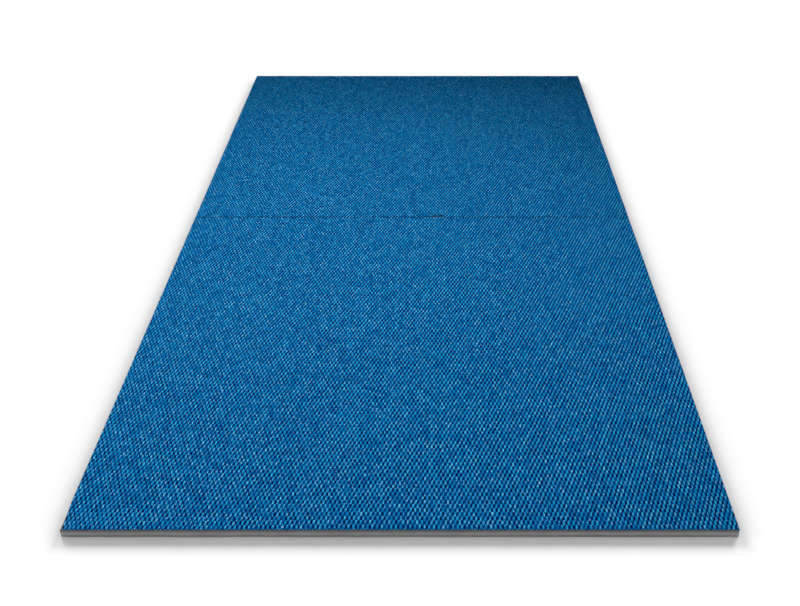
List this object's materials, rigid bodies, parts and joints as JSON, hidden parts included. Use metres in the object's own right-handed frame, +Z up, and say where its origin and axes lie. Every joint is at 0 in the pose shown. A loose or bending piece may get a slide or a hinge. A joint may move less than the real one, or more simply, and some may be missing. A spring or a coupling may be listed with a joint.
{
  "type": "blocking mats",
  "caption": "Folding pair of thick rectangular blocking mats: woven cloth face over felt and foam, rubber underside, sewn together along one edge.",
  "frame": {"origin": "on the ground, in the middle of the flat pair of mats", "axes": "+Z up out of the cloth faces; +Y from the front mat to the rear mat, across the seam; +X along the seam, to the right as seen from the front mat"},
  "size_m": [0.6, 1.174, 0.01],
  "materials": {
    "face_cloth": "coarse woven, heathered blue",
    "felt_underlay": "dark brown needled felt",
    "foam_core": "closed-cell grey foam, matt",
    "grip_backing": "matt grey, dotted for grip",
    "thread": "twisted blue thread"
  },
  "bodies": {
    "front_mat": {"front_grip_backing": "grip_backing", "front_foam_core": "foam_core", "front_felt_underlay": "felt_underlay", "front_face_cloth": "face_cloth", "hinge_stitching": "thread"},
    "rear_mat": {"rear_grip_backing": "grip_backing", "rear_foam_core": "foam_core", "rear_felt_underlay": "felt_underlay", "rear_face_cloth": "face_cloth"}
  },
  "joints": [
    {"name": "fold", "type": "hinge", "parent": "front_mat", "child": "rear_mat", "pos_m": [0, 0.013, 0.0104], "axis": [1, 0, 0], "range_deg": [0, 180], "deforming": ["hinge_stitching"]}
  ]
}
